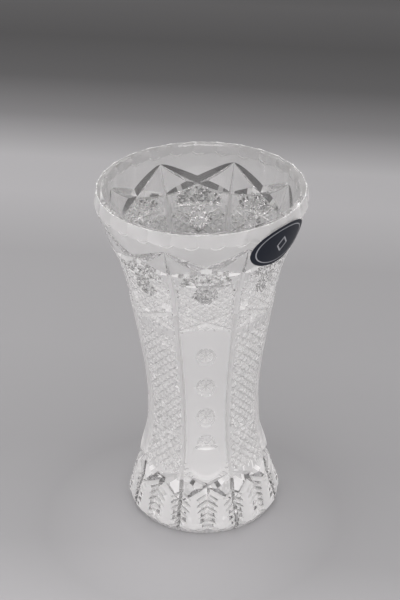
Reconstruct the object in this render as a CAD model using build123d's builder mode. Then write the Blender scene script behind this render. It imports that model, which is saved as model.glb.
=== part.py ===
"""Cut crystal vase: a flared glass body on a bulging foot, cut all over, and an oval stick-on label."""
from build123d import *
from math import asin, cos, degrees, hypot, radians, sin, tan
import os

os.makedirs("parts", exist_ok=True)

# ---------------------------------------------------------------- sizes, millimetres and degrees
# outer wall, from the ground up: radius at a height
height = 155.0
ground_radius = 31.9
foot_radius, foot_level = 34.0, 3.8
instep_radius, instep_level = 33.2, 8.5
shoulder_radius, shoulder_level = 29.5, 19.0
ankle_radius, ankle_level = 27.3, 30.0
waist_radius, waist_level = 24.5, 51.0
body_radius, body_level = 27.0, 80.0
chest_radius, chest_level = 32.0, 110.0
flare_radius, flare_level = 38.2, 131.0
rim_radius = 46.0

# glass between the wall and the well
rim_thickness = 5.1
flare_thickness = 5.0
chest_thickness = 5.3
waist_thickness = 5.6
well_floor = 25.0
well_corner = 9.0

# length of the straight runs that the curved walls are set out in
wall_band = 19.0
well_band = 30.0

# crosses: two long V cuts over each panel, one from either side
panels = 8
half_panel = 360 / panels / 2
v_half_angle = 50.0
cut_overrun, cut_clearance = 1.06, 2.2
tilt_span = 4.0
upper_cross_high, upper_cross_low = 146.5, 133.0
upper_cross_depth, upper_cross_tilt = 1.7, 8.0
middle_cross_high, middle_cross_low = 112.4, 102.0
middle_cross_depth, middle_cross_tilt = 1.3, 5.0
foot_cross_high, foot_cross_low = 28.4, 15.0
foot_cross_depth, foot_cross_tilt = 1.5, -12.0

# upright V grooves between the panels
groove_depth = 1.0
groove_fade = 146.5
groove_full_level = 122.0
groove_end = 24.0
groove_run_out = 0.2

# main lines of the diamond hatching on every other panel, crossing from both sides
hatch_lines = 3
hatch_start, hatch_pitch, hatch_climb = 30.0, 20.0, 17.0
hatch_depth = 0.8

# scallops round the rim, flutes round the foot
scallops = 27
scallop_start = 5.0
scallop_radius = 60.0
scallop_lean = 10.0
scallop_drop = 5.8
scallop_length, flute_length = 40.0, 60.0
flutes = 16
flute_radius = 13.0
flute_level = 18.0
flute_depth = 1.0

# rosettes
button_level = 122.6
button_radius, button_depth = 5.1, 1.0
rosette_levels = (89.2, 72.4, 56.2, 42.2)
rosette_radius, rosette_depth = 5.0, 0.9
petals, rosette_eye = 8, 0.2

# underside
recess_radius, recess_depth = 23.5, 1.6
star_grooves = 8
star_radius, star_depth, star_half_angle = 21.5, 1.5, 60.0

# label
label_length, label_width = 33.3, 20.8
label_drop, label_turn = 12.1, 46.6
label_reach = 0.6
label_wrap = 0.956
label_thickness = 0.15
label_film = 0.05

# what lies at a set drop below the rim
scallop_level = height - scallop_drop
label_level = height - label_drop

# ---------------------------------------------------------------- outer wall
with BuildLine() as wall_line:
    Line((ground_radius, 0), (foot_radius, foot_level))
    heel = TangentArc((foot_radius, foot_level), (instep_radius, instep_level), tangent=(0, 1))
    Line(heel @ 1, (shoulder_radius, shoulder_level))
    calf = TangentArc((waist_radius, waist_level), (ankle_radius, ankle_level), tangent=(0, -1))
    TangentArc((ankle_radius, ankle_level), (shoulder_radius, shoulder_level), tangent=calf % 1)
    body = TangentArc((waist_radius, waist_level), (body_radius, body_level), tangent=(0, 1))
    chest = TangentArc((body_radius, body_level), (chest_radius, chest_level), tangent=body % 1)
    flare = TangentArc((chest_radius, chest_level), (flare_radius, flare_level), tangent=chest % 1)
    TangentArc((flare_radius, flare_level), (rim_radius, height), tangent=flare % 1)


def banded(outline, band):
    """Corner points of an outline made of short straight runs, as turned surfaces are set out here."""
    corners = []
    for edge in outline.edges():
        runs = 1 if edge.geom_type == GeomType.LINE else max(1, round(edge.length / band))
        for run in range(runs + 1):
            point = edge @ (run / runs)
            corners.append((round(point.X, 4), round(point.Y, 4)))
    return sorted(set(corners), key=lambda corner: (corner[1], corner[0]))


wall_corners = banded(wall_line.line, wall_band)


def wall_radius(level):
    """Radius of the uncut outer wall at a height."""
    for below, above in zip(wall_corners, wall_corners[1:]):
        if level <= above[1]:
            return below[0] + (above[0] - below[0]) * (level - below[1]) / (above[1] - below[1])
    return rim_radius


def wall_tilt(level):
    """How far the wall leans outwards at a height, in degrees."""
    rise = wall_radius(level + tilt_span / 2) - wall_radius(level - tilt_span / 2)
    return degrees(asin(rise / tilt_span))


def on_wall(turn, level):
    """Point of the uncut wall, turned from the front face."""
    radius = wall_radius(level)
    return Vector(radius * sin(radians(turn)), -radius * cos(radians(turn)), level)


def slanted_cut(side, high, low, depth, tilt):
    """Long V cut over one panel: deepest half way, running out at both panel edges."""
    upper_end = on_wall(side * half_panel, high)
    lower_end = on_wall(-side * half_panel, low)
    chord = upper_end - lower_end
    centre = (upper_end + lower_end) * 0.5
    along = chord.normalized()
    facing = Vector(0, -cos(radians(tilt)), -sin(radians(tilt)))
    outward = (facing - along * facing.dot(along)).normalized()
    bow = wall_radius(centre.Z) - hypot(centre.X, centre.Y) - depth
    bend = chord.length ** 2 / (8 * bow) + bow / 2
    swing = degrees(asin(chord.length / 2 / bend)) * cut_overrun
    reach = depth + cut_clearance
    spread = reach * tan(radians(v_half_angle))
    hinge = Axis((0, 0, bow - bend), (0, 1, 0))
    with BuildPart() as cutter:
        with BuildSketch(Plane.YZ):
            with BuildLine():
                Polyline((0, bow), (spread, bow + reach), (-spread, bow + reach), close=True)
            make_face()
        revolve(axis=hinge, revolution_arc=2 * swing)
    frame = Plane(origin=centre, x_dir=along, z_dir=outward)
    return frame.location * cutter.part.rotate(hinge, -swing)


def upright_cut(root):
    """V groove that runs up the wall along a root line given as radius, height pairs."""
    reach = groove_depth + cut_clearance
    spread = reach * tan(radians(v_half_angle))
    with BuildPart() as cutter:
        with BuildLine() as path:
            Polyline([(radius, 0, level) for radius, level in root])
        with BuildSketch(Plane(origin=path.line @ 0, x_dir=(0, -1, 0), z_dir=path.line % 0)):
            with BuildLine():
                Polyline((0, 0), (spread, reach), (-spread, reach), close=True)
            make_face()
        sweep(transition=Transition.RIGHT)
    return cutter.part


def rosette_ring(radius, level):
    """Corners of one ring of a rosette, level measured out of the wall."""
    turns = [radians(360 * petal / petals) for petal in range(petals)]
    return [Vector(radius * cos(turn), radius * sin(turn), level) for turn in turns]


def rosette_cut(level, radius, depth):
    """Shallow rosette in the front of the wall: a small flat eye and sloping flats for petals."""
    tilt = radians(wall_tilt(level))
    frame = Plane(origin=on_wall(0, level), x_dir=(1, 0, 0), z_dir=(0, -cos(tilt), -sin(tilt)))
    eye = rosette_ring(radius * rosette_eye, -depth)
    brim = rosette_ring(radius * (2 - rosette_eye), depth)
    faces = [Face(Wire.make_polygon(eye)), Face(Wire.make_polygon(brim))]
    for petal in range(petals):
        corners = [eye[petal - 1], eye[petal], brim[petal], brim[petal - 1]]
        faces.append(Face(Wire.make_polygon(corners)))
    return frame.location * Solid(Shell(faces))


# ---------------------------------------------------------------- cutters shared by the panels
crosses = []
for high, low, depth, tilt in (
    (upper_cross_high, upper_cross_low, upper_cross_depth, upper_cross_tilt),
    (middle_cross_high, middle_cross_low, middle_cross_depth, middle_cross_tilt),
    (foot_cross_high, foot_cross_low, foot_cross_depth, foot_cross_tilt),
):
    crosses.append(slanted_cut(1, high, low, depth, tilt))
    crosses.append(slanted_cut(-1, high, low, depth, tilt))
button = rosette_cut(button_level, button_radius, button_depth)
hatching = []
for line in range(hatch_lines):
    low = hatch_start + hatch_pitch * line
    high = low + hatch_climb
    tilt = wall_tilt((low + high) / 2)
    hatching.append(slanted_cut(1, high, low, hatch_depth, tilt))
    hatching.append(slanted_cut(-1, high, low, hatch_depth, tilt))

body_groove_root = [(wall_radius(groove_end) + groove_run_out, groove_end)]
for groove_level in (ankle_level, waist_level, body_level, chest_level, groove_full_level):
    body_groove_root.append((wall_radius(groove_level) - groove_depth, groove_level))
body_groove_root.append((wall_radius(groove_fade) + groove_run_out, groove_fade))
body_groove = upright_cut(body_groove_root)

with BuildPart() as scallop:
    Cylinder(scallop_radius, scallop_length)
scallop_place = (
    Pos(wall_radius(scallop_level), 0, scallop_level) * Rot(0, -scallop_lean, 0) * Pos(scallop_radius, 0, 0)
)

with BuildPart() as flute:
    Cylinder(flute_radius, flute_length)
flute_run = Vector(foot_radius - flute_depth - wall_radius(flute_level), 0, flute_level - foot_level)
flute_lean = degrees(asin(flute_run.X / flute_run.length))
flute_place = (
    Pos(wall_radius(flute_level), 0, flute_level) * Rot(0, -flute_lean, 0) * Pos(flute_radius, 0, 0)
)

# ---------------------------------------------------------------- vase body
waist_inside = (waist_radius - waist_thickness, waist_level)
body_inside = (body_radius - waist_thickness, body_level)
chest_inside = (chest_radius - chest_thickness, chest_level)
flare_inside = (flare_radius - flare_thickness, flare_level)
rim_inside = (rim_radius - rim_thickness, height)
corner_start = (waist_inside[0], well_floor + well_corner)
corner_end = (waist_inside[0] - well_corner, well_floor)
with BuildLine() as well_line:
    Line((0, well_floor), corner_end)
    TangentArc(corner_end, corner_start, tangent=(1, 0))
    Line(corner_start, waist_inside)
    tube = TangentArc(waist_inside, body_inside, tangent=(0, 1))
    breast = TangentArc(body_inside, chest_inside, tangent=tube % 1)
    trumpet = TangentArc(chest_inside, flare_inside, tangent=breast % 1)
    TangentArc(flare_inside, rim_inside, tangent=trumpet % 1)
well_corners = banded(well_line.line, well_band)
with BuildPart() as vase_body:
    with BuildSketch(Plane.XZ):
        with BuildLine():
            Polyline(wall_corners)
            Line(wall_corners[-1], well_corners[-1])
            Polyline(well_corners)
            Line((0, well_floor), (0, 0))
            Line((0, 0), (ground_radius, 0))
        make_face()
    revolve(axis=Axis.Z)

    # hollow underneath with a star cut in it, leaving a flat ring to stand on
    Cylinder(recess_radius, recess_depth, align=(Align.CENTER, Align.CENTER, Align.MIN), mode=Mode.SUBTRACT)
    with BuildPart(mode=Mode.PRIVATE) as star_ray:
        with BuildSketch(Plane.YZ):
            with BuildLine():
                star_spread = (star_depth + recess_depth) * tan(radians(star_half_angle))
                Polyline((0, recess_depth + star_depth), (star_spread, 0), (-star_spread, 0), close=True)
            make_face()
        extrude(amount=star_radius, both=True)
    with PolarLocations(0, star_grooves, angular_range=180):
        add(star_ray.part, mode=Mode.SUBTRACT, clean=False)

    # eight panels with the upright grooves between them
    with PolarLocations(0, panels):
        add(crosses, mode=Mode.SUBTRACT, clean=False)
        add(button, mode=Mode.SUBTRACT, clean=False)
    with PolarLocations(0, panels, start_angle=half_panel):
        add(body_groove, mode=Mode.SUBTRACT, clean=False)

    # every other panel is hatched, the rest are plain but for a column of rosettes
    with PolarLocations(0, panels // 2, start_angle=2 * half_panel):
        add(hatching, mode=Mode.SUBTRACT, clean=False)
    with PolarLocations(0, panels // 2):
        for rosette_level in rosette_levels:
            add(rosette_cut(rosette_level, rosette_radius, rosette_depth), mode=Mode.SUBTRACT, clean=False)

    # flutes round the foot, scallops round the rim
    with PolarLocations(0, flutes, start_angle=360 / flutes / 2):
        add(flute_place * flute.part, mode=Mode.SUBTRACT, clean=False)
    with PolarLocations(0, scallops, start_angle=scallop_start):
        add(scallop_place * scallop.part, mode=Mode.SUBTRACT, clean=False)

vase_body.part.label = "vase_body"
export_step(vase_body.part, "parts/vase_body.step")

# ---------------------------------------------------------------- oval label, lying on the wall
label_low = label_level - label_width * label_reach
label_high = min(label_level + label_width * label_reach, height - label_film)
label_levels = [label_low]
label_levels += [level for radius, level in wall_corners if label_low < level < label_high]
label_levels += [label_high]
label_back = [(wall_radius(level) + label_film, level) for level in label_levels]
label_front = [(radius + label_thickness, level) for radius, level in reversed(label_back)]
with BuildPart() as oval_label:
    with BuildSketch(Plane.XZ):
        with BuildLine():
            Polyline(label_back + label_front, close=True)
        make_face()
    revolve(axis=Axis.Z)
    with BuildSketch(Plane(origin=on_wall(0, label_level), x_dir=(1, 0, 0), z_dir=(0, -1, 0))):
        Ellipse(label_length * label_wrap / 2, label_width * label_wrap / 2)
    extrude(amount=label_width, both=True, mode=Mode.INTERSECT)
oval_label_part = oval_label.part.rotate(Axis.Z, label_turn)
oval_label_part.label = "oval_label"
export_step(oval_label_part, "parts/oval_label.step")
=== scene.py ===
"""Looks of the cut crystal vase: glass with every cut in it, label, floor, lights and camera.

Sizes are in millimetres and degrees, except where a comment says metres. A turn runs round the axis
from the plain front panel, a level runs up from the ground ring, and a depth runs into the wall.
"""
import math

import bmesh
import bpy
from mathutils import Matrix, Vector


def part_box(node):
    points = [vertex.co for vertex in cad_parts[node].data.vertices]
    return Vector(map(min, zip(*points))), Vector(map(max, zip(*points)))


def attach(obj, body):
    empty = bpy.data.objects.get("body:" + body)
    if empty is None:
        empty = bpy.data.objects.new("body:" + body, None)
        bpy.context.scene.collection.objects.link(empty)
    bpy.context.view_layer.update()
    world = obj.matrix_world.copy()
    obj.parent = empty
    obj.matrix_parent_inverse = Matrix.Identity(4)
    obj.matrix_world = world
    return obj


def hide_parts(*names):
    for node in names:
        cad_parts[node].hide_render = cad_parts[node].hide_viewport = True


MM = 0.001
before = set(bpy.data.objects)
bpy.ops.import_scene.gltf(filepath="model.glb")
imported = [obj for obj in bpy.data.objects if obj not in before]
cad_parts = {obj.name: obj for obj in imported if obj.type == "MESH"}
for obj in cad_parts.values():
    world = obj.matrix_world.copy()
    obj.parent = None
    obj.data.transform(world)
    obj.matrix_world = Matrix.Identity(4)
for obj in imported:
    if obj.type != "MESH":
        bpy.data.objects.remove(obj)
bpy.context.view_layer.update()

# ---------------------------------------------------------------- sizes
# outer wall: (radius, level) places that its lines and arcs pass through
HEIGHT = (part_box("vase_body")[1].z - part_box("vase_body")[0].z) / MM
FOOT_LINE = [(31.9, 0.0), (34.0, 3.8)]
INSTEP = (33.2, 8.5)
SHOULDER = (29.5, 19.0)
ANKLE = (27.3, 30.0)
WAIST = (24.5, 51.0)
UPPER_WALL = [WAIST, (27.0, 80.0), (32.0, 110.0), (38.2, 131.0), (46.0, HEIGHT)]

# well, underside and rim
WELL_FLOOR = 25.0
WELL_CORNER = 9.0
WELL_WALL = [(18.9, 51.0), (21.4, 80.0), (26.7, 110.0), (33.2, 131.0), (40.9, HEIGHT)]
RECESS_RADIUS = 23.5
RECESS_DEPTH = 1.6
GROUND_RING = 28.0
RIM_BEVEL = 0.5
RIM_DRAFT = RIM_BEVEL * 0.3
RIM_STEP = 43.4

# how finely the blank is divided: round the axis, and along each part of its outline
SEGMENTS = 224
ROW, WELL_ROW, STRAIGHT_ROW, RECESS_ROW = 1.5, 2.2, 3, 4

# panels, plain and hatched in turn
PANELS = 8
HALF_PANEL = 22.5
PANEL_MIDDLES = [360 * panel / PANELS for panel in range(PANELS)]
PLAIN_PANELS = (0, 90, 180, 270)
HATCHED_PANELS = (45, 135, 225, 315)

# buttons in every panel and rosettes down the plain ones: (radius, depth) from the middle outwards
BUTTON_LEVEL, BUTTON_RADIUS = 122.6, 5.1
BUTTON = [(0, 0.6), (2.9, 0.55), (4.0, 1.8), (BUTTON_RADIUS + 0.1, 0.3), (6.0, -0.7)]
ROSETTE_LEVELS, ROSETTE_RADIUS = (89.2, 72.4, 56.2, 42.2), 5.0
ROSETTE = [(0, 0.9), (1.6, 0.86), (3.2, 0.6), (4.3, 0.28), (ROSETTE_RADIUS, 0), (6.2, -0.5)]

# flutes of the foot, scallops of the rim and the hairline arcs below them
FLUTES = 16
SCALLOPS = 27
SCALLOP_START, RIM_LINE_START = 95.0, 5.0
RIM_PASSES = 3

# how far the trough cutters reach out of the wall, and the least share of a hatching line
# that is worth a cut
CUTTER_RISE = 3.0
SHORTEST_LINE = 0.1

# label: flat size, place, gap under it, thickness, and how much of its width is height, as the
# wall under it leans
LABEL_LENGTH, LABEL_WIDTH = 33.3, 20.8
LABEL_LEVEL, LABEL_TURN, LABEL_TILT = 142.9, 46.6, -3.5
LABEL_GAP, LABEL_THICKNESS = 0.05, 0.15
LABEL_LEAN = 0.94
LABEL_RINGS, LABEL_SIDES = 10, 72
LABEL_WELD = 1e-7

# facets that meet at less than these angles are smoothed together
GLASS_SMOOTHING, LABEL_SMOOTHING = 13, 40

# paper: half its side, how far it lies below the glass, its roughness and its faint cast
PAPER_REACH, PAPER_GAP = 3000.0, 0.1
PAPER_ROUGHNESS = 0.9
PAPER_CAST = (1.005, 1, 1.025)
# its greys by distance behind the vase, metres: painted light and shade, with a paler band behind
# the vase and a fall to dark grey far back
FLOOR_NEAR, FLOOR_FAR = -0.30, 0.80
FLOOR_GREYS = (
    (-0.09, 0.45), (-0.045, 0.37), (0.03, 0.345), (0.12, 0.36), (0.22, 0.345), (0.295, 0.41),
    (0.345, 0.40), (0.41, 0.185), (0.475, 0.085), (0.55, 0.06), (0.63, 0.083), (0.75, 0.04),
)
# its fall from left to right, metres, and how far its bands slant; the fall is painted shade,
# darker to the right
FLOOR_LEFT, FLOOR_RIGHT, FLOOR_HALF_WIDTH = 1.0, 0.93, 0.15
FLOOR_SKEW = 0.2
# it is paler close round the foot, where clear glass sends light down through itself, metres
GLOW_CENTRE, GLOW_NEAR, GLOW_FAR, GLOW_GAIN = (-0.006, -0.018, 0.0), 0.030, 0.066, 1.30

# greys of the room by the upward part of the direction, from the horizon to the ceiling
ROOM_GREYS = ((0.0, 0.84), (0.3, 0.92), (0.7, 0.92), (1.0, 0.92))
ROOM_CAST = (1.01, 0.985, 0.985)
ROOM_FRONT, ROOM_BACK = 1.36, 0.64

# overhead soft box: place, target and side in metres, watts
LAMP_PLACE, LAMP_TARGET, LAMP_SIDE, LAMP_POWER = (0.0, 0.1, 1.2), (0, 0.05, 0), 0.5, 2.6

# light turns black in thick cut glass where its path ends early
BOUNCES, GLOSSY_BOUNCES = 32, 24

# camera: metres from its target, pitch, turn, the target's level in metres, and its last trim
CAMERA_DISTANCE, CAMERA_PITCH, CAMERA_TURN, CAMERA_AIM = 0.7737, 29.99, -2.5, 0.1006
CAMERA_LENS, CAMERA_SENSOR = 108, 36
CAMERA_YAW, CAMERA_ROLL = 0.076, -0.52


# ---------------------------------------------------------------- outlines
def arc_chain(corners, heading, step):
    """Points along arcs through the corners, each arc leaving along the last one's heading."""
    heading = Vector(heading).normalized()
    points = [Vector(corners[0])]
    for corner in corners[1:]:
        start = points[-1]
        chord = Vector(corner) - start
        normal = Vector((-heading.y, heading.x))
        ahead, aside = chord.dot(heading), chord.dot(normal)
        turn = 2 * math.atan2(aside, ahead)
        radius = chord.length / (2 * math.sin(turn / 2)) if abs(turn) > 1e-6 else None
        count = max(1, math.ceil(chord.length / step))
        for index in range(1, count + 1):
            angle = turn * index / count
            if radius is None:
                points.append(start + chord * (index / count))
            else:
                forward = heading * (radius * math.sin(angle))
                points.append(start + forward + normal * (radius * (1 - math.cos(angle))))
        heading = (chord * (2 * ahead / chord.length_squared) - heading).normalized()
    return points


def line_points(start, end, step):
    """Evenly spaced points from start to end."""
    start, end = Vector(start), Vector(end)
    count = max(1, math.ceil((end - start).length / step))
    return [start.lerp(end, index / count) for index in range(count + 1)]


def outer_outline():
    """Radius and level of the uncut wall, from the ground up."""
    foot = line_points(*FOOT_LINE, ROW) + arc_chain([FOOT_LINE[1], INSTEP], (0, 1), ROW)[1:]
    foot += line_points(INSTEP, SHOULDER, ROW)[1:]
    calf = arc_chain([WAIST, ANKLE, SHOULDER], (0, -1), ROW)
    return foot + calf[-2::-1] + arc_chain(UPPER_WALL, (0, 1), ROW)[1:]


def well_outline():
    """Radius and level of the inside, from the middle of the well's floor up."""
    tube = WELL_WALL[0][0]
    corner_start = (tube - WELL_CORNER, WELL_FLOOR)
    corner_end = (tube, WELL_FLOOR + WELL_CORNER)
    floor = line_points((0, WELL_FLOOR), corner_start, STRAIGHT_ROW)
    corner = arc_chain([corner_start, corner_end], (1, 0), ROW)
    straight = line_points(corner_end, WELL_WALL[0], STRAIGHT_ROW)
    return floor + corner[1:] + straight[1:] + arc_chain(WELL_WALL, (0, 1), WELL_ROW)[1:]


OUTLINE = outer_outline()


def wall(turn, level, proud=0.0):
    """Point and outward normal of the uncut wall, the point standing proud of it by so much."""
    index = 0
    while index < len(OUTLINE) - 2 and OUTLINE[index + 1].y < level:
        index += 1
    low, high = OUTLINE[index], OUTLINE[index + 1]
    share = (level - low.y) / (high.y - low.y)
    radius = low.x + (high.x - low.x) * share
    before = OUTLINE[max(index - 1, 0)]
    after = OUTLINE[min(index + 2, len(OUTLINE) - 1)]
    slope = (after - before).normalized()
    out = Vector((math.sin(math.radians(turn)), -math.cos(math.radians(turn)), 0))
    normal = out * slope.y - Vector((0, 0, slope.x))
    return out * radius + Vector((0, 0, level)) + normal * proud, normal


def wall_radius(level, turn=0):
    """Distance of the uncut wall from the axis."""
    return math.hypot(*wall(turn, level)[0][:2])


def between(start, end, share):
    """The (turn, level) place at a share of the way from start to end."""
    return start[0] + (end[0] - start[0]) * share, start[1] + (end[1] - start[1]) * share


# ---------------------------------------------------------------- meshes
def make_mesh(name, points, faces):
    """A mesh object, in metres, from points in millimetres."""
    mesh = bpy.data.meshes.new(name)
    mesh.from_pydata([Vector(point) * MM for point in points], [], faces)
    mesh.update()
    made = bpy.data.objects.new(name, mesh)
    bpy.context.scene.collection.objects.link(made)
    return made


def turned(name, outline, segments):
    """Solid of revolution of a closed outline that starts and ends on the axis."""
    points, faces, rings = [], [], []
    for radius, level in outline:
        if radius < 1e-6:
            rings.append([len(points)] * segments)
            points.append((0, 0, level))
            continue
        rings.append(list(range(len(points), len(points) + segments)))
        for index in range(segments):
            angle = math.tau * index / segments
            points.append((radius * math.cos(angle), radius * math.sin(angle), level))
    for lower, upper in zip(rings, rings[1:]):
        for index in range(segments):
            after = (index + 1) % segments
            face = [lower[index], lower[after], upper[after], upper[index]]
            faces.append([corner for place, corner in enumerate(face)
                          if corner not in face[:place]])
    return make_mesh(name, points, faces)


def set_outward(made, weld=0.0):
    """Welds corners this close, in metres, and turns every face of a mesh object outwards."""
    shell = bmesh.new()
    shell.from_mesh(made.data)
    if weld:
        bmesh.ops.remove_doubles(shell, verts=shell.verts, dist=weld)
    bmesh.ops.recalc_face_normals(shell, faces=shell.faces)
    shell.to_mesh(made.data)
    shell.free()


def smooth(made, angle):
    """Smooths a mesh object but for its edges that are sharper than the angle."""
    made.data.polygons.foreach_set("use_smooth", [True] * len(made.data.polygons))
    made.data.set_sharp_from_angle(angle=math.radians(angle))


class Cutters:
    """Closed cutting solids that meet little or not at all, cut out of the glass in one go."""

    def __init__(self):
        self.points = []
        self.faces = []

    def loft(self, sections):
        """A closed solid through sections that all have the same number of corners."""
        count = len(sections[0])
        base = len(self.points)
        for section in sections:
            self.points.extend(section)
        for station in range(len(sections) - 1):
            low = base + station * count
            high = low + count
            for corner in range(count):
                after = (corner + 1) % count
                self.faces.append([low + corner, low + after, high + after, high + corner])
        last = base + (len(sections) - 1) * count
        self.faces.append([base + corner for corner in reversed(range(count))])
        self.faces.append([last + corner for corner in range(count)])

    def groove(self, route, depths, rise_left=40, rise_right=40, proud=0.6):
        """V cut along (turn, level) places: its depth there, and how steep each flank rises."""
        places = [wall(turn, level) for turn, level in route]
        left = 1 / math.tan(math.radians(rise_left))
        right = 1 / math.tan(math.radians(rise_right))
        sections = []
        for index, (point, normal) in enumerate(places):
            before = places[max(index - 1, 0)][0]
            after = places[min(index + 1, len(places) - 1)][0]
            side = normal.cross(after - before).normalized()
            high = depths[index] + proud
            top = point + normal * proud
            bottom = point - normal * depths[index]
            sections.append([bottom, top - side * (high * right), top + side * (high * left)])
        self.loft(sections)

    def stroke(self, start, end, depth, stations=8, overrun=0.06, sag=0.0, fullness=1.0, **shape):
        """One pass of a V wheel between two places: deepest half way, running out at both ends."""
        route, depths = [], []
        for index in range(stations + 1):
            share = -overrun + (1 + 2 * overrun) * index / stations
            run_out = 1 - (2 * share - 1) ** 2
            turn, level = between(start, end, share)
            route.append((turn, level - sag * run_out))
            depths.append(depth * math.copysign(abs(run_out) ** fullness, run_out))
        self.groove(route, depths, **shape)

    def dish(self, turn, level, outline, sides=40):
        """Round cut in the wall: outline holds (radius, depth) pairs from its middle outwards."""
        point, normal = wall(turn, level)
        across = Vector((0, 0, 1)).cross(normal).normalized()
        upward = normal.cross(across)
        base = len(self.points)
        self.points.append(point - normal * outline[0][1])
        for radius, depth in outline[1:]:
            for side in range(sides):
                angle = math.tau * side / sides
                spot = across * (radius * math.cos(angle)) + upward * (radius * math.sin(angle))
                self.points.append(point + spot - normal * depth)
        rings = len(outline) - 1
        for side in range(sides):
            after = (side + 1) % sides
            self.faces.append([base, base + 1 + after, base + 1 + side])
            for ring in range(rings - 1):
                low = base + 1 + ring * sides
                high = low + sides
                self.faces.append([low + side, low + after, high + after, high + side])
        top = base + 1 + (rings - 1) * sides
        self.faces.append([top + side for side in range(sides)])

    def trough(self, turn, low, high, radius, half_width, steps=14):
        """Round-bottomed cut between two (radius, level) places of its lowest line."""
        angle = math.radians(turn)
        out = Vector((math.sin(angle), -math.cos(angle), 0))
        across = Vector((math.cos(angle), math.sin(angle), 0))
        start = out * low[0] + Vector((0, 0, low[1]))
        end = out * high[0] + Vector((0, 0, high[1]))
        lift = across.cross(end - start).normalized()
        if lift.dot(out) < 0:
            lift = -lift
        swing = math.asin(half_width / radius)
        section = []
        for step in range(steps + 1):
            place = swing * (2 * step / steps - 1)
            rise = radius * (1 - math.cos(place))
            section.append(across * (radius * math.sin(place)) + lift * rise)
        brim = radius * (1 - math.cos(swing)) + CUTTER_RISE
        section += [across * half_width + lift * brim, across * -half_width + lift * brim]
        self.loft([[start + corner for corner in section], [end + corner for corner in section]])

    def cut(self, target):
        """Takes these solids out of the target for good."""
        tool = make_mesh("cutter", self.points, self.faces)
        set_outward(tool)
        boolean = target.modifiers.new("cut", "BOOLEAN")
        boolean.operation = "DIFFERENCE"
        boolean.solver = "MANIFOLD"
        boolean.object = tool
        graph = bpy.context.evaluated_depsgraph_get()
        cut_mesh = bpy.data.meshes.new_from_object(target.evaluated_get(graph))
        target.modifiers.clear()
        before = target.data
        target.data = cut_mesh
        bpy.data.meshes.remove(before)
        bpy.data.objects.remove(tool)


# ---------------------------------------------------------------- glass body
def make_blank():
    """The blown and turned vase before any cutting."""
    outer, inner = UPPER_WALL[-1][0], WELL_WALL[-1][0]
    outline = [Vector((0, RECESS_DEPTH))]
    outline += line_points((0, RECESS_DEPTH), (RECESS_RADIUS, RECESS_DEPTH), RECESS_ROW)[1:]
    outline += [Vector((RECESS_RADIUS, 0)), Vector((GROUND_RING, 0))]
    outline += OUTLINE[:-1]
    outline += [
        Vector((outer - RIM_DRAFT, HEIGHT - RIM_BEVEL)),
        Vector((outer - RIM_BEVEL, HEIGHT)),
        Vector((RIM_STEP, HEIGHT)),
        Vector((inner + RIM_BEVEL, HEIGHT)),
        Vector((inner - RIM_DRAFT, HEIGHT - RIM_BEVEL)),
    ]
    outline += well_outline()[-2::-1]
    blank = turned("cut_glass_vase", outline, SEGMENTS)
    set_outward(blank)
    return blank


def flanks(side, first, second):
    """How steep the two flanks of a cut rise, swapped where the cut is mirrored."""
    left, right = (first, second) if side > 0 else (second, first)
    return {"rise_left": left, "rise_right": right}


def cut_foot_flutes(vase):
    """Upright flutes round the foot."""
    depth, top_level, radius, half_width = 1.0, 18.0, 13.0, 5.6
    past_foot, past_top = 0.5, 0.3
    top_radius = wall_radius(top_level)
    foot_radius, foot_level = FOOT_LINE[1]
    run = Vector((foot_radius - depth - top_radius, foot_level - top_level))
    low = (foot_radius - depth + run.x * past_foot, foot_level + run.y * past_foot)
    high = (top_radius - run.x * past_top, top_level - run.y * past_top)
    cutters = Cutters()
    for flute in range(FLUTES):
        cutters.trough(360 * (flute + 0.5) / FLUTES, low, high, radius, half_width)
    cutters.cut(vase)


def cut_crosses(vase):
    """Long mitre cuts in pairs over every panel: under the rim, at the chest and on the foot."""
    # high and low end, depth, sag, rise of the flanks over and under the cut, fullness
    rows = (
        (146.5, 133.4, 1.7, 3.2, 28.5, 51.5, 0.7),
        (112.4, 102.0, 1.3, 0.0, 36.0, 44.0, 1.0),
        (28.4, 15.0, 2.0, 0.0, 38.0, 36.0, 1.0),
    )
    for side in (1, -1):
        cutters = Cutters()
        for high, low, depth, sag, rise_over, rise_under, fullness in rows:
            shape = {"sag": sag, "fullness": fullness, **flanks(side, rise_over, rise_under)}
            for middle in PANEL_MIDDLES:
                start = (middle - side * HALF_PANEL, low)
                end = (middle + side * HALF_PANEL, high)
                cutters.stroke(start, end, depth, stations=14, overrun=0.03, **shape)
        cutters.cut(vase)


def cut_uprights(vase):
    """Upright grooves between the panels, thin under the peaks and wide lower down."""
    # (level, depth) from the rim down
    places = (
        (150, -0.4), (146.5, 0), (142, 0.3), (137, 0.55), (133, 0.9), (129, 1), (125, 1.1),
        (118, 1.1), (110, 1.1), (100, 1), (88, 1), (76, 1), (64, 1), (54, 1), (44, 1), (36, 1),
        (30, 0.9), (25, 0.8), (20, 0.8), (14, 0.8), (8, 0.8), (4, 0.8), (0.5, 0.8), (-1, 0.8),
    )
    depths = [depth for level, depth in places]
    cutters = Cutters()
    for middle in PANEL_MIDDLES:
        cutters.groove([(middle + HALF_PANEL, level) for level, depth in places], depths)
    cutters.cut(vase)


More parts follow.
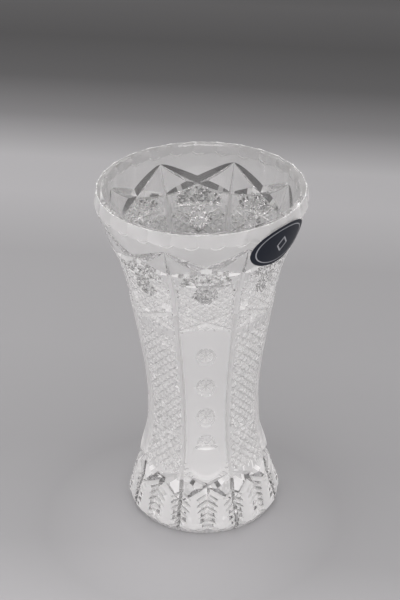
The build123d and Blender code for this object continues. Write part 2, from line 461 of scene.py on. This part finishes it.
def cut_rosettes(vase):
    """Buttons in every panel and dished rosettes down each plain one, then petals over them."""
    cutters = Cutters()
    for turn in PANEL_MIDDLES:
        cutters.dish(turn, BUTTON_LEVEL, BUTTON)
    for turn in PLAIN_PANELS:
        for level in ROSETTE_LEVELS:
            cutters.dish(turn, level, ROSETTE)
    cutters.cut(vase)
    # turn, level, half length of a petal cut, how far it follows the dish down, its own depth
    places = [(turn, BUTTON_LEVEL, BUTTON_RADIUS * 0.62, 0.85, 0.55) for turn in PANEL_MIDDLES]
    for turn in PLAIN_PANELS:
        places += [(turn, level, ROSETTE_RADIUS, 0.7, 0.6) for level in ROSETTE_LEVELS]
    petal_cuts, upright_share, lift, rise = 4, 0.95, 0.05, 48
    for petal in range(petal_cuts):
        slant = math.pi * petal / petal_cuts
        cutters = Cutters()
        for turn, level, reach, sunk, depth in places:
            spread = math.degrees(reach * math.cos(slant) / wall_radius(level, turn))
            climb = reach * math.sin(slant) * upright_share
            route, depths = [], []
            for share in (-1.0, -0.7, -0.4, 0.0, 0.4, 0.7, 1.0):
                route.append((turn + spread * share, level + climb * share))
                own_depth = depth * (1 - abs(share)) ** 0.5
                depths.append(sunk * (1 - share * share) + own_depth - lift)
            cutters.groove(route, depths, rise_left=rise, rise_right=rise)
        cutters.cut(vase)


def cut_fans(vase):
    """Half moon of crossing cuts on a level cut over each button, two cuts below it, and dashes."""
    level = 127.9
    degrees_per_mm = math.degrees(1 / wall_radius(level))

    def strokes(lines, depth, **shape):
        """Cuts in every panel along lines in millimetres from the middle of the level cut."""
        cutters = Cutters()
        for middle in PANEL_MIDDLES:
            for (x_start, z_start), (x_end, z_end) in lines:
                start = (middle + x_start * degrees_per_mm, level + z_start)
                end = (middle + x_end * degrees_per_mm, level + z_end)
                cutters.stroke(start, end, depth, stations=6, overrun=0.04, **shape)
        cutters.cut(vase)

    base, depth, lower_depth, dash_depth = 11.5, 0.8, 0.7, 0.5
    half_width, rise, slant = 11.6, 9.0, math.radians(38)
    feet, first_foot, pitch = 7, -11.0, 2.9
    dash_out, dash_in, dash_drop, dash_levels = 12.6, 9.4, 1.2, (-3.0, -5.2, -7.4, -9.6)
    along_x, along_z = math.cos(slant), math.sin(slant)
    squared = (along_x / half_width) ** 2 + (along_z / rise) ** 2
    strokes([((-base, 0), (base, 0))], depth, rise_left=45, rise_right=45)
    for side in (1, -1):
        lines = []
        for place in range(feet):
            # from its foot, each line runs as far as the half moon's edge
            foot = first_foot + pitch * place
            mixed = foot * along_x / half_width ** 2
            rest = (foot / half_width) ** 2 - 1
            length = (math.sqrt(mixed * mixed - squared * rest) - mixed) / squared
            lines.append(((side * foot, 0.0), (side * (foot + length * along_x), length * along_z)))
        strokes(lines, depth, fullness=0.4, **flanks(side, 31, 46))
        lower = [((side * 11, -1.0), (side * 1.5, -5.0))]
        strokes(lower, lower_depth, rise_left=45, rise_right=45)
        dashes = [((side * dash_out, z), (side * dash_in, z - dash_drop)) for z in dash_levels]
        strokes(dashes, dash_depth)


def lattice_lines(middle, side, band, level, pitch, climb, half):
    """Ends of the slanting lines of one hatching over a panel, where they lie in the band."""
    low, high = band
    while level < high:
        first = max(0.0, (low - level) / climb)
        last = min(1.0, (high - level) / climb)
        if last - first > SHORTEST_LINE:
            start = (middle + side * half * (2 * first - 1), level + climb * first)
            end = (middle + side * half * (2 * last - 1), level + climb * last)
            yield start, end
        level += pitch


def cut_hatching(vase):
    """Diamond hatching over every other panel, in two bands parted by a level cut."""
    bands = ((28.5, 45.0), (47.5, 99.5))
    first_level, pitch, climb, half = 30.0, 4.0, 17.0, 20.0
    depth, end_lift, overrun, stations, rise = 0.8, 0.25, 0.03, 8, 45
    parting_level, parting_depth = 46.2, 0.9
    depths = [-end_lift] + [depth] * (stations - 1) + [-end_lift]
    shares = [-overrun + (1 + 2 * overrun) * index / stations for index in range(stations + 1)]
    for side in (1, -1):
        cutters = Cutters()
        for middle in HATCHED_PANELS:
            for band in bands:
                rows_below = math.ceil((first_level - band[0] + climb) / pitch)
                level = first_level - pitch * rows_below
                for start, end in lattice_lines(middle, side, band, level, pitch, climb, half):
                    route = [between(start, end, share) for share in shares]
                    cutters.groove(route, depths, rise_left=rise, rise_right=rise, proud=0.3)
        cutters.cut(vase)
    cutters = Cutters()
    for middle in HATCHED_PANELS:
        start, end = (middle - half, parting_level), (middle + half, parting_level)
        cutters.stroke(start, end, parting_depth, stations=10)
    cutters.cut(vase)


def cut_chest_hatching(vase):
    """Fine diamond hatching round the chest crosses of every panel."""
    band, pitch, climb, half, depth = (103.5, 125.5), 3.2, 17.0, 20.0, 0.55
    first_level = band[0] - pitch * math.ceil(climb / pitch) + 1.0
    for side in (1, -1):
        cutters = Cutters()
        for middle in PANEL_MIDDLES:
            for start, end in lattice_lines(middle, side, band, first_level, pitch, climb, half):
                cutters.stroke(start, end, depth, proud=0.3, fullness=0.25)
        cutters.cut(vase)


def cut_thumbprints(vase):
    """Shallow round cut that ends every plain panel below."""
    level, sides = 34.6, 48
    outline = [(0, 0.85), (4.0, 0.85), (7.0, 0.75), (8.2, 0.4), (9.2, -0.6)]
    cutters = Cutters()
    for turn in PLAIN_PANELS:
        cutters.dish(turn, level, outline, sides)
    cutters.cut(vase)


def cut_panel_ends(vase):
    """Crescent and two sprays of short cuts round the lower end of every plain panel."""
    half, level, droop, depth = 10.5, 40.8, 1.4, 2.3
    cutters = Cutters()
    for turn in PLAIN_PANELS:
        route, depths = [], []
        for share in (-1.1, -1.0, -0.8, -0.5, 0.0, 0.5, 0.8, 1.0, 1.1):
            route.append((turn + half * share, level - droop * share * share))
            depths.append(depth - depth * share * share)
        cutters.groove(route, depths, rise_left=65, rise_right=42)
    cutters.cut(vase)
    # the sprays point away from this level of the panel's middle line
    centre_level, near, far, degrees_per_mm, spray_depth = 35.5, 9.0, 13.5, 2.05, 0.7
    for slant in (18, 30, 42, 54):
        along, down = math.cos(math.radians(slant)), math.sin(math.radians(slant))
        cutters = Cutters()
        for turn in PLAIN_PANELS:
            for side in (1, -1):
                start, end = [(turn + degrees_per_mm * side * distance * along,
                               centre_level - distance * down) for distance in (near, far)]
                cutters.stroke(start, end, spray_depth, stations=4, proud=0.3)
        cutters.cut(vase)


def cut_combs(vase):
    """Herringbones of short cuts on the ridges between the flutes, falling away to both sides."""
    # (turn from the ridge, depth) along one short cut
    places = ((0.0, 0.4), (2.0, 0.8), (4.0, 0.95), (5.5, 1.05), (7.0, 1.05), (8.4, 0.8))
    levels, peak, fall, rise = (4.4, 7.2, 10.0, 12.8, 15.6, 18.4), 1.0, 0.4, 50
    depths = [depth for across, depth in places]
    for side in (1, -1):
        cutters = Cutters()
        for ridge in range(FLUTES):
            turn = 360 * ridge / FLUTES
            for level in levels:
                route = [(turn + side * across, level + peak - fall * across)
                         for across, depth in places]
                cutters.groove(route, depths, rise_left=rise, rise_right=rise, proud=0.2)
        cutters.cut(vase)


def scallop_passes(start):
    """Turns of all scallops, in passes that skip neighbours so that no two cutters meet."""
    turns = [start + 360 * scallop / SCALLOPS for scallop in range(SCALLOPS)]
    return [turns[part::RIM_PASSES] for part in range(RIM_PASSES)]


def cut_rim(vase):
    """Scallops round the rim, leaning in towards its top."""
    lean, level, radius, half_width, below, above = 10.0, 149.2, 60.0, 8.6, 12, 8
    # distance of the wall from the axis there
    reach = math.sqrt(wall(0, level)[0].length_squared - level * level)
    lean_out = math.tan(math.radians(lean))
    low = (reach + lean_out * below, level - below)
    high = (reach - lean_out * above, level + above)
    for turns in scallop_passes(SCALLOP_START):
        cutters = Cutters()
        for turn in turns:
            cutters.trough(turn, low, high, radius, half_width)
        cutters.cut(vase)


def cut_rim_lines(vase):
    """Hairline arcs in the collar, as many as there are scallops."""
    low, high, half = 148.9, 152.0, 6.2
    # (share of the arc's half width, depth)
    places = ((-1, 0.0), (-0.75, 0.15), (-0.5, 0.22), (-0.25, 0.25), (0, 0.25),
              (0.25, 0.25), (0.5, 0.22), (0.75, 0.15), (1, 0.0))
    depths = [depth for share, depth in places]
    for turns in scallop_passes(RIM_LINE_START):
        cutters = Cutters()
        for turn in turns:
            route = [(turn + half * share, low + (high - low) * share * share)
                     for share, depth in places]
            cutters.groove(route, depths, proud=0.4)
        cutters.cut(vase)


def cut_base_star(vase):
    """Sixteen-rayed star of eight long cuts ground into the underside."""
    cuts, depth, reach, half_angle, below = 8, 1.5, RECESS_RADIUS - 2, 60.0, 1
    spread = (depth + below) * math.tan(math.radians(half_angle))
    for cut in range(cuts):
        angle = math.pi * cut / cuts
        along = Vector((math.cos(angle), math.sin(angle), 0))
        across = Vector((-math.sin(angle), math.cos(angle), 0))
        sections = []
        for end in (-reach, reach):
            middle = along * end + Vector((0, 0, RECESS_DEPTH - below))
            peak = middle + Vector((0, 0, below + depth))
            sections.append([peak, middle + across * spread, middle - across * spread])
        cutters = Cutters()
        cutters.loft(sections)
        cutters.cut(vase)


def drop_crumbs(vase):
    """Removes loose crumbs of glass that the cuts leave behind, keeping the largest part."""
    shell = bmesh.new()
    shell.from_mesh(vase.data)
    left = set(shell.verts)
    parts = []
    while left:
        part, ahead = [], [left.pop()]
        while ahead:
            corner = ahead.pop()
            part.append(corner)
            for edge in corner.link_edges:
                other = edge.other_vert(corner)
                if other in left:
                    left.discard(other)
                    ahead.append(other)
        parts.append(part)
    parts.sort(key=len)
    crumbs = [corner for part in parts[:-1] for corner in part]
    bmesh.ops.delete(shell, geom=crumbs, context="VERTS")
    shell.to_mesh(vase.data)
    shell.free()


def make_vase():
    """The whole cut glass body with its finishes."""
    vase = make_blank()
    for cut in (
        cut_foot_flutes, cut_crosses, cut_uprights, cut_rosettes, cut_fans, cut_hatching,
        cut_chest_hatching, cut_thumbprints, cut_panel_ends, cut_combs, cut_rim, cut_rim_lines,
        cut_base_star,
    ):
        cut(vase)
    drop_crumbs(vase)
    smooth(vase, GLASS_SMOOTHING)
    vase.data.materials.clear()
    for finish in FINISHES:
        vase.data.materials.append(glass_material(*finish))
    for face in vase.data.polygons:
        face.material_index = finish_of(Facet(face))
    return vase


# ---------------------------------------------------------------- finishes
POLISHED, SATIN, GREYED, BRIGHT, PAINTED_HIGHLIGHT = range(5)
# name, transmission, least and most roughness, darkest and palest tint
FINISHES = (
    ("polished_crystal", 0.98, 0.0, 0.04, 0.985, 1.0),
    ("satin_crystal", 0.32, 0.36, 0.46, 0.97, 1.0),
    ("greyed_crystal", 0.38, 0.0, 0.04, 0.97, 1.0),
    ("bright_crystal", 0.5, 0.0, 0.04, 0.98, 1.0),
    # near opaque matte white, put where clear crystal would catch the light: painted highlights and
    # glints
    ("painted_highlight_crystal", 0.06, 0.4, 0.5, 0.98, 1.0),
)

# fixed scatters: a facet takes the first finish whose limit is above its own number from 0 to 1
# the matte white facets in these scatters are painted glints and highlights, standing in for the
# sparkle of cut crystal; the other finishes vary at random
RIM_EDGE = ((0.6, SATIN), (1, BRIGHT))
FOOT_FLANKS = ((0.3, PAINTED_HIGHLIGHT), (0.65, GREYED), (1, POLISHED))
FOOT_RIDGES = ((0.5, GREYED), (1, BRIGHT))
ABOVE_PANEL = ((0.5, SATIN), (1, GREYED))
HATCHING = ((0.025, PAINTED_HIGHLIGHT), (0.15, SATIN), (0.92, GREYED), (1, BRIGHT))
CHEST = ((0.025, PAINTED_HIGHLIGHT), (0.45, SATIN), (0.92, GREYED), (1, BRIGHT))
BUTTONS = ((0.6, POLISHED), (1, GREYED))
LOWER_FANS = ((0.07, PAINTED_HIGHLIGHT), (0.28, SATIN), (1, GREYED))
UPPER_FANS = ((0.07, PAINTED_HIGHLIGHT), (0.5, GREYED), (1, POLISHED))
BETWEEN_CROSSES = ((0.4, SATIN), (1, GREYED))

# levels that part the zones, from the foot up
FLUTE_FLOOR_TOP, FOOT_FLANK_TOP, FOOT_TOP = 17.0, 19.0, 24.0
PANEL_TOP, PANEL_PEAK, ABOVE_PANEL_TOP, HATCHING_TOP = 101.0, 5.2, 108.0, 103.0
UPRIGHT_GREYED_TOP, UPRIGHT_SATIN_TOP, UPRIGHT_TOP = 112.0, 133.5, 147.0
CHEST_TOP, LOWER_FAN_TOP, BETWEEN_TOP, FAN_TOP = 117.0, 127.2, 133.0, 137.0
COLLAR_BOTTOM, RIM_LINE_TOP, RIM_EDGE_BOTTOM = 148.0, 152.5, HEIGHT - 0.6
# how far facets stand out of the uncut wall: inside of the vase and of its collar, uncut glass
INSIDE, COLLAR_INSIDE, UNCUT = -2.5, -1.5, 0.06


class Facet:
    """Where one facet of the cut glass lies, how it faces, and its number in the scatters."""

    def __init__(self, face):
        centre = face.center / MM
        self.level = centre.z
        self.radius = math.hypot(centre.x, centre.y)
        self.proud = self.radius - wall_radius(self.level)
        self.uncut = abs(self.proud) < UNCUT
        turn = math.degrees(math.atan2(centre.x, -centre.y))
        normal = wall(turn, self.level)[1]
        self.up = face.normal.z
        self.lift = face.normal.z - normal.z
        self.facing = face.normal.dot(normal)
        # turn from the middle of the nearest plain panel, up to the middle of a hatched one
        self.fold = min(turn % 90, 90 - turn % 90)
        self.from_upright = abs(self.fold - HALF_PANEL)
        half_flute = HALF_PANEL / 2
        self.from_ridge = abs((turn - half_flute) % HALF_PANEL - half_flute)
        panel_turn = (self.fold + HALF_PANEL) % (2 * HALF_PANEL) - HALF_PANEL
        self.aside = math.radians(panel_turn) * self.radius
        mixed = round(turn, 1) * 12.9898 + round(self.level, 1) * 78.233
        self.chance = math.sin(mixed) * 43758.5453 % 1

    def scattered(self, scatter):
        """The finish that this facet takes from a fixed scatter."""
        for limit, finish in scatter:
            if self.chance < limit:
                return finish
        return scatter[-1][1]


def collar_finish(facet):
    """Satin in the rim's edge and hairlines, a half clear collar, and a polished inside."""
    if facet.level > RIM_EDGE_BOTTOM and facet.radius > RIM_STEP - 0.2:
        return facet.scattered(RIM_EDGE)
    if -0.5 < facet.proud < -0.03 and facet.level < RIM_LINE_TOP:
        return SATIN
    return BRIGHT if facet.proud > COLLAR_INSIDE else POLISHED


def foot_finish(facet):
    """Satin floors of the flutes, upward flanks made pale as painted light from overhead, and
    ridges greyed or half clear.
    """
    in_flute = facet.proud < -0.05 and facet.from_ridge > 5.0
    if in_flute and facet.level < FLUTE_FLOOR_TOP and facet.facing > 0.93:
        return SATIN
    # painted light from overhead: flanks that face up take pale finishes, those that face down stay
    # polished
    if facet.lift > 0.2 and facet.level < FOOT_FLANK_TOP:
        return SATIN
    if facet.uncut:
        return facet.scattered(FOOT_RIDGES)
    return facet.scattered(FOOT_FLANKS) if facet.lift > 0.0 else POLISHED


def plain_panel_finish(facet):
    """Satin panel with a white crescent, a painted highlight on the crescent's upward faces; the
    steep faces of its cuts are greyed.
    """
    in_crescent = 38.0 < facet.level < 42.5 and facet.fold < 12.0
    # painted highlight: the upward faces of the crescent cut are matte white
    if in_crescent and facet.up > 0.5:
        return PAINTED_HIGHLIGHT
    if min(math.hypot(facet.aside, facet.level - level) for level in ROSETTE_LEVELS) < 4.6:
        return SATIN if facet.facing > 0.965 else GREYED
    shallow = facet.fold < 14.0 and facet.facing > 0.85
    return SATIN if facet.uncut or shallow or facet.up > 0.3 else GREYED


def upright_finish(facet):
    """Greyed below, satin at the chest, polished under the rim."""
    if UPRIGHT_GREYED_TOP < facet.level < UPRIGHT_SATIN_TOP:
        return SATIN
    return GREYED if facet.level < UPRIGHT_GREYED_TOP else POLISHED


def upper_finish(facet):
    """Buttons, white points as painted highlights, the glass between the crosses, fans and,
    polished, the crosses.
    """
    level = facet.level
    if math.hypot(facet.aside, level - BUTTON_LEVEL) < 5.6 and not facet.uncut:
        return facet.scattered(BUTTONS)
    # painted highlights: the upward faces beside the uprights, at the lower ends of the rim
    # crosses, are matte white points
    if 131.0 < level < 138.0 and facet.up > 0.1 and facet.from_upright < 4.5:
        return PAINTED_HIGHLIGHT
    if facet.uncut:
        return facet.scattered(BETWEEN_CROSSES) if level < BETWEEN_TOP else BRIGHT
    if level < FAN_TOP and abs(facet.aside) < 11.5:
        return facet.scattered(LOWER_FANS if level < LOWER_FAN_TOP else UPPER_FANS)
    return POLISHED


def finish_of(facet):
    """The finish of one facet, by the zone of the vase that it lies in."""
    level = facet.level
    if level > COLLAR_BOTTOM:
        return collar_finish(facet)
    if facet.proud < INSIDE:
        return POLISHED
    # painted highlights: matte white triangles of uncut glass beside the uprights on the foot, and
    # points beside them at the top of the chest crosses
    foot_highlight = facet.uncut and 23.5 < facet.fold < 34.0 and 17.0 < level < 25.0
    chest_highlight = 25.5 < facet.fold < 31.5 and 111.5 < level < 115.5
    if foot_highlight or chest_highlight:
        return PAINTED_HIGHLIGHT
    if level < FOOT_TOP:
        return foot_finish(facet)
    in_plain_panel = facet.fold < HALF_PANEL
    if in_plain_panel and level < PANEL_TOP + PANEL_PEAK * (1 - facet.fold / HALF_PANEL):
        return plain_panel_finish(facet)
    in_groove = facet.proud < -0.02 and facet.from_upright < 2.6
    if in_groove and level < UPRIGHT_TOP and abs(facet.up) < 0.5:
        return upright_finish(facet)
    if in_plain_panel and level < ABOVE_PANEL_TOP:
        return facet.scattered(ABOVE_PANEL)
    if level < HATCHING_TOP:
        return facet.scattered(HATCHING)
    if level < CHEST_TOP:
        return facet.scattered(CHEST)
    return upper_finish(facet)


# ---------------------------------------------------------------- label
def make_label():
    """Oval film that follows the wall, closed round its edge."""
    points, faces, places = [], [], []
    for height in (LABEL_GAP + LABEL_THICKNESS, LABEL_GAP):
        for ring in range(LABEL_RINGS + 1):
            for side in range(LABEL_SIDES):
                angle = math.tau * side / LABEL_SIDES
                oval = Vector((LABEL_LENGTH * math.cos(angle), LABEL_WIDTH * math.sin(angle)))
                plan = oval * (0.5 * ring / LABEL_RINGS)
                aside, up = Matrix.Rotation(math.radians(LABEL_TILT), 2) @ plan
                level = LABEL_LEVEL + up * LABEL_LEAN
                turn = LABEL_TURN + math.degrees(aside / wall_radius(level, LABEL_TURN))
                points.append(wall(turn, level, height)[0])
                places.append((0.5 + plan.x / LABEL_LENGTH, 0.5 + plan.y / LABEL_LENGTH))
    layer = (LABEL_RINGS + 1) * LABEL_SIDES
    edge = LABEL_RINGS * LABEL_SIDES
    for side in range(LABEL_SIDES):
        after = (side + 1) % LABEL_SIDES
        for ring in range(LABEL_RINGS):
            low, high = ring * LABEL_SIDES, (ring + 1) * LABEL_SIDES
            face = [low + side, low + after, high + after, high + side]
            faces.append(face)
            faces.append([layer + face[place] for place in (0, 3, 2, 1)])
        faces.append([edge + side, edge + after, layer + edge + after, layer + edge + side])
    label = make_mesh("oval_sticker", points, faces)
    layer_map = label.data.uv_layers.new(name="label_plan")
    for loop in label.data.loops:
        layer_map.data[loop.index].uv = places[loop.vertex_index]
    set_outward(label, weld=LABEL_WELD)
    smooth(label, LABEL_SMOOTHING)
    return label


# ---------------------------------------------------------------- materials
def feed(tree, node, inputs):
    """Gives each named or numbered input of a node its value, or links it to an output."""
    for name, value in inputs.items():
        if isinstance(value, bpy.types.NodeSocket):
            tree.links.new(value, node.inputs[name])
        else:
            node.inputs[name].default_value = value


def add_node(tree, kind, inputs=None, **attributes):
    """A node with its attributes set and its inputs fed."""
    node = tree.nodes.new(kind)
    for name, value in attributes.items():
        setattr(node, name, value)
    feed(tree, node, inputs or {})
    return node


def math_node(tree, operation, *values):
    """Result of a Math node."""
    return add_node(tree, "ShaderNodeMath", dict(enumerate(values)), operation=operation).outputs[0]


def map_range(tree, value, **limits):
    """Result of a Map Range node; limits are from_min, from_max, to_min and to_max."""
    inputs = {name.replace("_", " ").title(): limit for name, limit in limits.items()}
    node = add_node(tree, "ShaderNodeMapRange", {"Value": value, **inputs})
    return node.outputs["Result"]


def scaled(tree, colour, scale):
    """A colour made brighter or darker."""
    inputs = {0: colour, "Scale": scale}
    return add_node(tree, "ShaderNodeVectorMath", inputs, operation="SCALE").outputs["Vector"]


def ramp(tree, factor, stops):
    """Colour of a ramp through (position, colour) stops."""
    node = add_node(tree, "ShaderNodeValToRGB", {"Fac": factor})
    elements = node.color_ramp.elements
    elements.remove(elements[1])
    for index, (place, colour) in enumerate(stops):
        stop = elements[0] if index == 0 else elements.new(place)
        stop.position = place
        stop.color = (*colour, 1)
    return node.outputs["Color"]


def cast_grey(grey, cast):
    """A grey with a faint cast."""
    return tuple(grey * part for part in cast)


def new_material(name):
    """A node material, its tree, its Principled shader and the object's own coordinates."""
    material = bpy.data.materials.new(name)
    material.use_nodes = True
    tree = material.node_tree
    tree.nodes.clear()
    output = tree.nodes.new("ShaderNodeOutputMaterial")
    shader = tree.nodes.new("ShaderNodeBsdfPrincipled")
    tree.links.new(shader.outputs["BSDF"], output.inputs["Surface"])
    where = tree.nodes.new("ShaderNodeTexCoord")
    return material, tree, shader, where.outputs["Object"]


def glass_material(name, transmission, least_rough, most_rough, tint_low, tint_high):
    """Crystal, clear or veiled, with a faint uneven tint and an uneven polish."""
    material, tree, shader, where = new_material(name)
    cloud = add_node(tree, "ShaderNodeTexNoise", {"Scale": 60, "Vector": where}).outputs["Fac"]
    palest = (tint_high, tint_high * 0.998, tint_high * 0.995)
    feed(tree, shader, {
        "Transmission Weight": transmission,
        "IOR": 1.54,
        "Base Color": ramp(tree, cloud, ((0, (tint_low, tint_low, tint_low)), (1, palest))),
        "Roughness": map_range(tree, cloud, to_min=least_rough, to_max=most_rough),
    })
    return material


def label_material():
    """Dark navy film with a thin silver line near its edge and a small plain lozenge."""
    material, tree, shader, where = new_material("navy_label_film")
    plan = add_node(tree, "ShaderNodeUVMap", uv_map="label_plan")
    split = add_node(tree, "ShaderNodeSeparateXYZ", {"Vector": plan.outputs["UV"]})

    def from_middle(axis, stretch):
        """Distance from the label's middle along an axis."""
        offset = math_node(tree, "SUBTRACT", split.outputs[axis], 0.5)
        return math_node(tree, "ABSOLUTE", math_node(tree, "MULTIPLY", offset, stretch))

    def drawn_line(distance, place, half_width):
        """1 on a line where the distance is at the place, 0 elsewhere."""
        offset = math_node(tree, "ABSOLUTE", math_node(tree, "SUBTRACT", distance, place))
        return math_node(tree, "LESS_THAN", offset, half_width)

    across, upward = from_middle("X", 2.0), from_middle("Y", 3.2)
    squares = [math_node(tree, "POWER", distance, 2.0) for distance in (across, upward)]
    oval = math_node(tree, "SQRT", math_node(tree, "ADD", *squares))
    lozenge = math_node(tree, "ADD", math_node(tree, "MULTIPLY", across, 2.0), upward)
    lines = (drawn_line(oval, 0.84, 0.018), drawn_line(lozenge, 0.34, 0.05))
    silver = math_node(tree, "MAXIMUM", *lines)
    grain = add_node(tree, "ShaderNodeTexNoise", {"Scale": 900, "Vector": where}).outputs["Fac"]
    navy = ramp(tree, grain, ((0, (0.008, 0.011, 0.021)), (1, (0.014, 0.018, 0.030))))
    inputs = {"Factor": silver, "A": navy, "B": (0.42, 0.43, 0.46, 1)}
    feed(tree, shader, {
        "IOR": 1.28,
        "Base Color": add_node(tree, "ShaderNodeMix", inputs, data_type="RGBA").outputs["Result"],
        "Roughness": map_range(tree, grain, to_min=0.38, to_max=0.5),
    })
    return material


def floor_material():
    """Matt paper with painted light and shade: pale round the vase, palest behind it, falling off
    to dark grey far back.
    """
    material, tree, shader, where = new_material("studio_paper")
    split = add_node(tree, "ShaderNodeSeparateXYZ", {"Vector": where})
    behind = math_node(tree, "MULTIPLY_ADD", split.outputs["X"], FLOOR_SKEW, split.outputs["Y"])
    reach = map_range(tree, behind, from_min=FLOOR_NEAR, from_max=FLOOR_FAR)
    stops = [((distance - FLOOR_NEAR) / (FLOOR_FAR - FLOOR_NEAR), cast_grey(grey, PAPER_CAST))
             for distance, grey in FLOOR_GREYS]
    aside = map_range(tree, split.outputs["X"], from_min=-FLOOR_HALF_WIDTH,
                      from_max=FLOOR_HALF_WIDTH, to_min=FLOOR_LEFT, to_max=FLOOR_RIGHT)
    offset = add_node(tree, "ShaderNodeVectorMath", {0: where, 1: GLOW_CENTRE},
                      operation="DISTANCE").outputs["Value"]
    glow = map_range(tree, offset, from_min=GLOW_NEAR, from_max=GLOW_FAR,
                     to_min=GLOW_GAIN, to_max=1.0)
    # painted shade darker to the right, times painted light round the foot, scales the paper's
    # colour
    painted_light_and_shade = math_node(tree, "MULTIPLY", aside, glow)
    feed(tree, shader, {
        "Base Color": scaled(tree, ramp(tree, reach, stops), painted_light_and_shade),
        "Roughness": PAPER_ROUGHNESS,
    })
    return material


# ---------------------------------------------------------------- stage
def make_floor():
    """Large flat sheet of paper just below the glass."""
    corners = [(x * PAPER_REACH, y * PAPER_REACH, -PAPER_GAP)
               for x, y in ((-1, -1), (1, -1), (1, 1), (-1, 1))]
    floor = make_mesh("paper_floor", corners, [[0, 1, 2, 3]])
    floor.data.materials.append(floor_material())


def make_lamp():
    """Square soft box overhead."""
    light = bpy.data.lights.new("overhead", "AREA")
    light.shape = "RECTANGLE"
    light.size = light.size_y = LAMP_SIDE
    light.energy = LAMP_POWER
    lamp = bpy.data.objects.new("overhead", light)
    lamp.location = LAMP_PLACE
    aim = Vector(LAMP_TARGET) - Vector(LAMP_PLACE)
    lamp.rotation_euler = aim.to_track_quat("-Z", "Y").to_euler()
    bpy.context.scene.collection.objects.link(lamp)


def make_room():
    """Pale room, a little darker at its horizon, brighter in front of the vase than behind it."""
    world = bpy.data.worlds.new("white_room")
    world.use_nodes = True
    tree = world.node_tree
    where = tree.nodes.new("ShaderNodeTexCoord")
    split = add_node(tree, "ShaderNodeSeparateXYZ", {"Vector": where.outputs["Generated"]})
    stops = [(place, cast_grey(grey, ROOM_CAST)) for place, grey in ROOM_GREYS]
    shade = ramp(tree, split.outputs["Z"], stops)
    fall = map_range(tree, split.outputs["Y"], from_min=-1.0, to_min=ROOM_FRONT, to_max=ROOM_BACK)
    feed(tree, tree.nodes["Background"], {"Color": scaled(tree, shade, fall)})
    bpy.context.scene.world = world


def set_light_paths():
    """Long light paths, which clear cut glass needs."""
    paths = bpy.context.scene.cycles
    paths.max_bounces = BOUNCES
    paths.transmission_bounces = BOUNCES
    paths.glossy_bounces = GLOSSY_BOUNCES


def make_camera():
    """Long lens above and in front, a hair off the axis of the front panel."""
    camera_data = bpy.data.cameras.new("camera")
    camera_data.lens = CAMERA_LENS
    camera_data.sensor_width = CAMERA_SENSOR
    camera = bpy.data.objects.new("camera", camera_data)
    bpy.context.scene.collection.objects.link(camera)
    around, down = math.radians(CAMERA_TURN), math.radians(CAMERA_PITCH)
    level = math.cos(down)
    back = Vector((math.sin(around) * level, -math.cos(around) * level, math.sin(down)))
    target = Vector((0, 0, CAMERA_AIM))
    look = (-back).to_track_quat("-Z", "Y").to_matrix()
    look = look @ Matrix.Rotation(math.radians(CAMERA_YAW), 3, "Y")
    look = look @ Matrix.Rotation(math.radians(CAMERA_ROLL), 3, "Z")
    camera.matrix_world = Matrix.Translation(target + back * CAMERA_DISTANCE) @ look.to_4x4()
    bpy.context.scene.camera = camera


make_floor()
make_lamp()
make_room()
set_light_paths()
make_camera()

vase = make_vase()
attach(vase, "root")
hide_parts("vase_body")

label = make_label()
label.data.materials.append(label_material())
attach(label, "root")
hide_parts("oval_label")

bpy.context.scene.view_settings.view_transform = "Standard"
